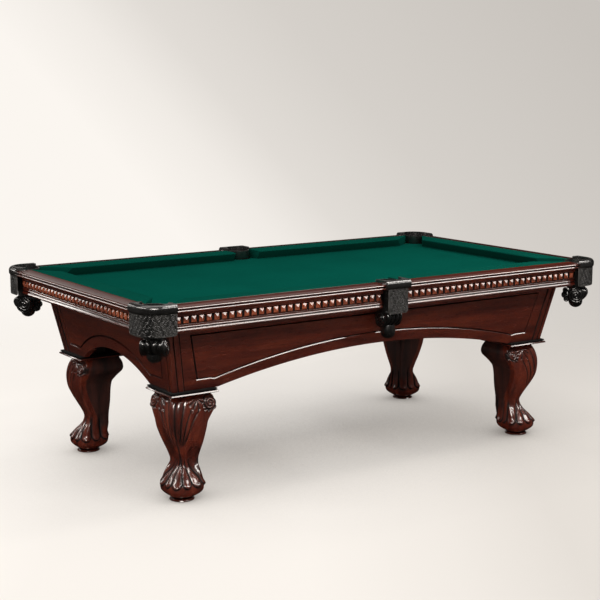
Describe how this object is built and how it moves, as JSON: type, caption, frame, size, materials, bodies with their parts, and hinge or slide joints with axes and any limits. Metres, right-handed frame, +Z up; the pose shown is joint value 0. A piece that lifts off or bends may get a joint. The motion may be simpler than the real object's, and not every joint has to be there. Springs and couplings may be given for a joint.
{
  "type": "pool table",
  "caption": "Slate-bed pool table with drop pockets in black leather bags, carved ball-foot cabriole legs, arched cabinet and dentil-moulded rails.",
  "frame": {"origin": "on the floor, at the middle of the table's box", "axes": "+Z up; X along the table's length, +X to the right seen from the front; the front long side faces -Y"},
  "size_m": [2.3112, 1.3206, 0.8188],
  "materials": {
    "mahogany": "dark red-brown stained mahogany under glossy lacquer",
    "mahogany_carved": "dark red-brown stained mahogany, carved, glossy lacquer",
    "dentil_wood": "lighter orange-brown stained wood under glossy lacquer",
    "frame_timber": "plain sawn poplar",
    "slate": "honed grey slate",
    "cloth": "deep green napped billiard cloth",
    "cloth_on_rubber": "deep green billiard cloth over cushion rubber",
    "leather": "polished black leather, embossed on the shields",
    "steel": "zinc-plated steel"
  },
  "bodies": {
    "table": {"leg_front_left": "mahogany_carved", "leg_front_right": "mahogany_carved", "leg_back_left": "mahogany_carved", "leg_back_right": "mahogany_carved", "leg_plate_front_left": "mahogany", "leg_plate_front_right": "mahogany", "leg_plate_back_left": "mahogany", "leg_plate_back_right": "mahogany", "leg_bolts": "steel", "rail_bolts": "steel", "slate_screws": "steel", "apron_front": "mahogany", "apron_back": "mahogany", "apron_left": "mahogany", "apron_right": "mahogany", "corner_blocks": "frame_timber", "cross_beam_left": "frame_timber", "cross_beam_right": "frame_timber", "slate_left": "slate", "slate_middle": "slate", "slate_right": "slate", "bed_cloth": "cloth", "rail_front_left": "mahogany", "rail_front_right": "mahogany", "rail_back_left": "mahogany", "rail_back_right": "mahogany", "rail_left": "mahogany", "rail_right": "mahogany", "cushion_front_left": "cloth_on_rubber", "cushion_front_right": "cloth_on_rubber", "cushion_back_left": "cloth_on_rubber", "cushion_back_right": "cloth_on_rubber", "cushion_left": "cloth_on_rubber", "cushion_right": "cloth_on_rubber", "dentils_front_left": "dentil_wood", "dentils_front_right": "dentil_wood", "dentils_back_left": "dentil_wood", "dentils_back_right": "dentil_wood", "dentils_left": "dentil_wood", "dentils_right": "dentil_wood", "pocket_shield_front_left": "leather", "pocket_shield_front_right": "leather", "pocket_shield_back_left": "leather", "pocket_shield_back_right": "leather", "pocket_shield_front": "leather", "pocket_shield_back": "leather", "pocket_bag_front_left": "leather", "pocket_bag_front_right": "leather", "pocket_bag_back_left": "leather", "pocket_bag_back_right": "leather", "pocket_bag_front": "leather", "pocket_bag_back": "leather"},
    "foot_front_left": {"foot_front_left": "mahogany"},
    "foot_stem_front_left": {"foot_stem_front_left": "steel"},
    "foot_front_right": {"foot_front_right": "mahogany"},
    "foot_stem_front_right": {"foot_stem_front_right": "steel"},
    "foot_back_left": {"foot_back_left": "mahogany"},
    "foot_stem_back_left": {"foot_stem_back_left": "steel"},
    "foot_back_right": {"foot_back_right": "mahogany"},
    "foot_stem_back_right": {"foot_stem_back_right": "steel"}
  },
  "joints": [
    {"name": "foot_front_left_slide", "type": "slide", "parent": "table", "child": "foot_front_left", "axis": [0, 0, -1], "range_m": [0, 0.012]},
    {"name": "foot_front_left_screw", "type": "hinge", "parent": "foot_front_left", "child": "foot_stem_front_left", "pos_m": [-0.886, -0.424, 0.03], "axis": [0, 0, 1], "range_deg": [0, 2160]},
    {"name": "foot_front_right_slide", "type": "slide", "parent": "table", "child": "foot_front_right", "axis": [0, 0, -1], "range_m": [0, 0.012]},
    {"name": "foot_front_right_screw", "type": "hinge", "parent": "foot_front_right", "child": "foot_stem_front_right", "pos_m": [0.886, -0.424, 0.03], "axis": [0, 0, 1], "range_deg": [0, 2160]},
    {"name": "foot_back_left_slide", "type": "slide", "parent": "table", "child": "foot_back_left", "axis": [0, 0, -1], "range_m": [0, 0.012]},
    {"name": "foot_back_left_screw", "type": "hinge", "parent": "foot_back_left", "child": "foot_stem_back_left", "pos_m": [-0.886, 0.424, 0.03], "axis": [0, 0, 1], "range_deg": [0, 2160]},
    {"name": "foot_back_right_slide", "type": "slide", "parent": "table", "child": "foot_back_right", "axis": [0, 0, -1], "range_m": [0, 0.012]},
    {"name": "foot_back_right_screw", "type": "hinge", "parent": "foot_back_right", "child": "foot_stem_back_right", "pos_m": [0.886, 0.424, 0.03], "axis": [0, 0, 1], "range_deg": [0, 2160]}
  ],
  "couplings": [
    {"joint": "foot_front_left_screw", "follows": "foot_front_left_slide", "rad_per_m": 3141.5},
    {"joint": "foot_front_right_screw", "follows": "foot_front_right_slide", "rad_per_m": 3141.5},
    {"joint": "foot_back_left_screw", "follows": "foot_back_left_slide", "rad_per_m": 3141.5},
    {"joint": "foot_back_right_screw", "follows": "foot_back_right_slide", "rad_per_m": 3141.5}
  ]
}
